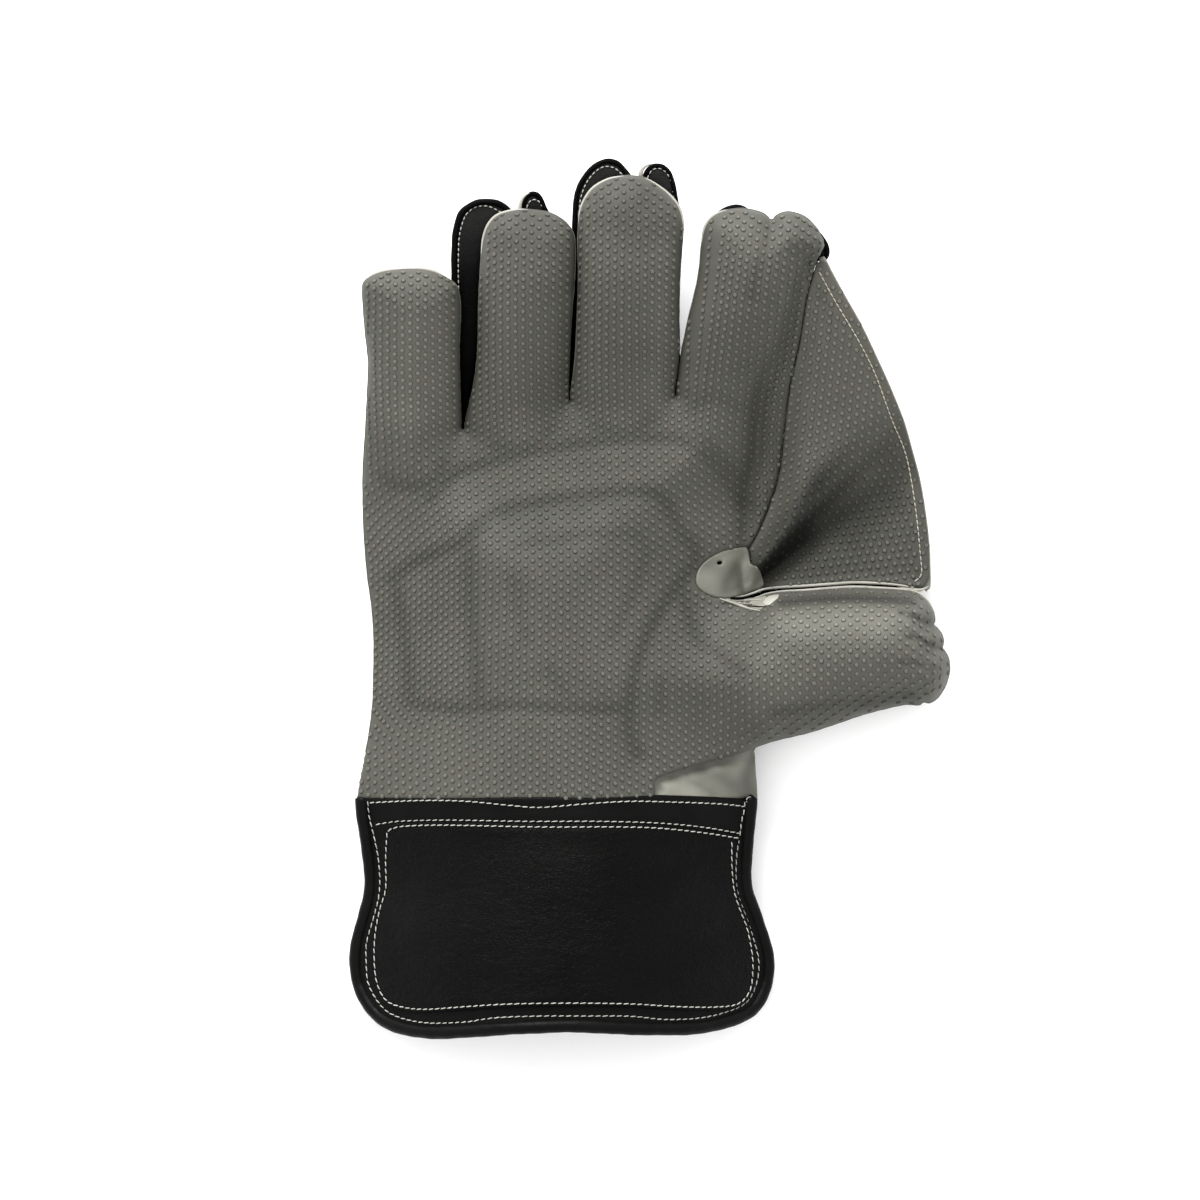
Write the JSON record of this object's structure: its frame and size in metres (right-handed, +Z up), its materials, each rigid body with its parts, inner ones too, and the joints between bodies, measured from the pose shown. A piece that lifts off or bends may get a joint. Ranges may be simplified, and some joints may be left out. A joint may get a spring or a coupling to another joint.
{
  "type": "wicketkeeping glove",
  "caption": "Right-hand wicketkeeping glove: pimpled rubber palm, padded fingers, webbed thumb and forefinger, wide padded cuff with a rolled edge",
  "frame": {"origin": "middle of the outline seen from the palm side, on the surface that the glove's back rests on", "axes": "+Z up out of the palm, +Y towards the fingertips, +X towards the thumb"},
  "size_m": [0.2041, 0.2989, 0.053],
  "materials": {
    "rubber_facing": "matt pimpled rubber",
    "leather_grey": "smooth pale grey leather",
    "leather_pale": "cream leather edge",
    "leather_black": "satin grained leather",
    "cuff_leather": "matt fine-grained leather"
  },
  "bodies": {
    "root": {"palm_facing": "rubber_facing", "web_facing": "rubber_facing", "web_backing": "leather_pale", "crotch_patch": "leather_grey", "seam_tab": "leather_pale", "wrist_gusset": "leather_grey", "side_little": "leather_grey", "side_ring": "leather_grey", "side_middle": "leather_grey", "side_index": "leather_grey", "side_thumb": "leather_grey", "hand_back": "leather_black", "back_little": "leather_black", "back_ring": "leather_black", "back_middle": "leather_black", "back_index": "leather_black", "back_thumb": "leather_black", "cuff_front": "leather_black", "cuff_panel": "cuff_leather", "cuff_front_roll": "leather_black", "cuff_back": "leather_black", "cuff_back_roll": "leather_black"}
  },
  "joints": []
}
